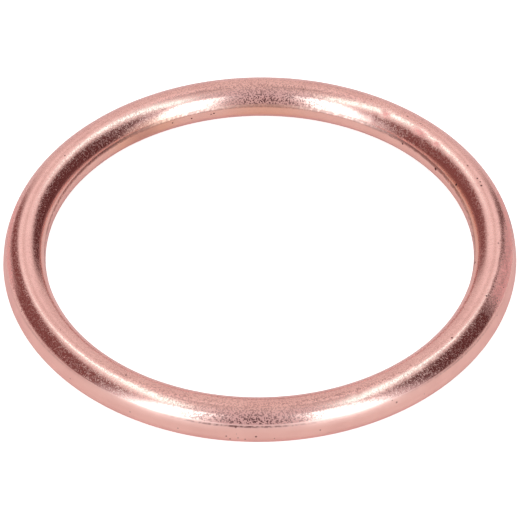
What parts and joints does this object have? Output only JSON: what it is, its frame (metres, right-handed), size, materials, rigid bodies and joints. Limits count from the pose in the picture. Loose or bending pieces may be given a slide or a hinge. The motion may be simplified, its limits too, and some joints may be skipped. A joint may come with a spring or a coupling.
{
  "type": "exhaust gasket",
  "caption": "Round hollow crush ring of soft copper sheet, lapped on the flank that faces its bore, which seals an exhaust pipe's flange to its port.",
  "frame": {"origin": "on the axis of the ring, in the plane that its lower crown rests on", "axes": "+Z along the axis of the ring, up from its lower crown to its upper crown; the lap is on the upper half of the flank that faces the bore; +X and +Y are level"},
  "size_m": [0.048, 0.048, 0.0039],
  "materials": {
    "copper": "soft annealed copper, burnished on its flanks and finely grained over its crowns"
  },
  "bodies": {
    "root": {"gasket_ring": "copper"}
  },
  "joints": []
}
